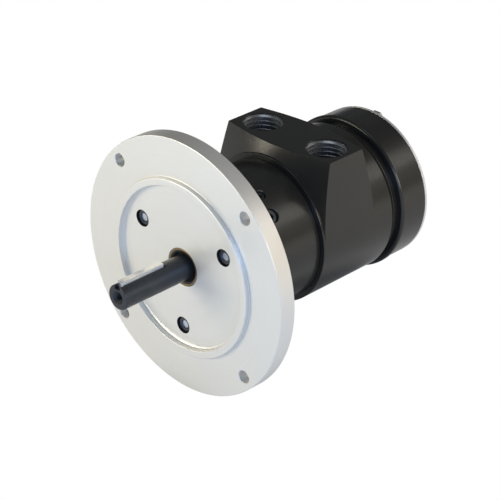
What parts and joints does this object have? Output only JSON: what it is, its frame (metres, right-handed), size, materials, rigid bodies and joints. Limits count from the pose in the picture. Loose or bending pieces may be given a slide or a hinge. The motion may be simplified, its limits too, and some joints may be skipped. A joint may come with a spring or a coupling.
{
  "type": "hydraulic motor",
  "caption": "Rotary hydraulic motor with a round face flange, keyed output shaft, top port block with vertical threaded ports and a gerotor section behind.",
  "frame": {"origin": "on the shaft axis, in the plane of the flange's outer annular face", "axes": "+Y along the shaft axis from the output end to the rear cover, +Z out of the port face, +X to the right seen from the output end"},
  "size_m": [0.165, 0.2245, 0.165],
  "materials": {
    "machined_aluminium": "fine turned, satin",
    "black_paint": "black semi-gloss over machined and cast metal",
    "dark_steel": "black oxide, ground",
    "bright_steel": "bright ground or zinc plated",
    "screw_steel": "dark zinc plated",
    "bronze": "sintered bronze, turned",
    "rubber": "moulded nitrile"
  },
  "bodies": {
    "housing": {"mounting_flange": "machined_aluminium", "flange_screw_1": "screw_steel", "flange_screw_2": "screw_steel", "flange_screw_3": "screw_steel", "front_housing": "black_paint", "body_screw_1": "screw_steel", "body_screw_2": "screw_steel", "body_screw_3": "screw_steel", "drain_plug": "dark_steel", "vent_plug": "dark_steel", "port_body": "black_paint", "port_plate": "black_paint", "rotor_housing": "black_paint", "rear_plate": "machined_aluminium", "rear_washer_1": "bright_steel", "rear_washer_2": "bright_steel", "rear_washer_3": "bright_steel", "rear_bolt_1": "bright_steel", "rear_bolt_2": "bright_steel", "rear_bolt_3": "bright_steel", "dowel_pin_1": "bright_steel", "dowel_pin_2": "bright_steel", "front_joint_ring": "rubber", "plate_joint_ring": "rubber", "housing_joint_ring": "rubber", "seal_bush": "bronze", "shaft_seal": "rubber", "pressure_seal": "rubber", "bearing_clip": "bright_steel", "front_bearing_outer_race": "bright_steel", "rear_bearing_outer_race": "bright_steel"},
    "shaft_assembly": {"shaft": "dark_steel", "shaft_key": "bright_steel", "rotor_key": "bright_steel", "inner_rotor": "bright_steel", "front_bearing_inner_race": "bright_steel", "rear_bearing_inner_race": "bright_steel"},
    "outer_rotor": {"outer_rotor": "dark_steel"},
    "front_ball_set": {"front_bearing_ball_set": "bright_steel"},
    "rear_ball_set": {"rear_bearing_ball_set": "bright_steel"}
  },
  "joints": [
    {"name": "shaft_spin", "type": "hinge", "parent": "housing", "child": "shaft_assembly", "pos_m": [0, 0, 0], "axis": [0, 1, 0], "continuous": true},
    {"name": "outer_rotor_spin", "type": "hinge", "parent": "housing", "child": "outer_rotor", "pos_m": [0, 0.1527, 0.0022], "axis": [0, 1, 0], "continuous": true},
    {"name": "front_ball_set_spin", "type": "hinge", "parent": "housing", "child": "front_ball_set", "pos_m": [0, 0.0202, 0], "axis": [0, 1, 0], "continuous": true},
    {"name": "rear_ball_set_spin", "type": "hinge", "parent": "housing", "child": "rear_ball_set", "pos_m": [0, 0.1319, 0], "axis": [0, 1, 0], "continuous": true}
  ],
  "couplings": [
    {"joint": "outer_rotor_spin", "follows": "shaft_spin", "ratio": 0.85714},
    {"joint": "front_ball_set_spin", "follows": "shaft_spin", "ratio": 0.3815},
    {"joint": "rear_ball_set_spin", "follows": "shaft_spin", "ratio": 0.4085}
  ]
}
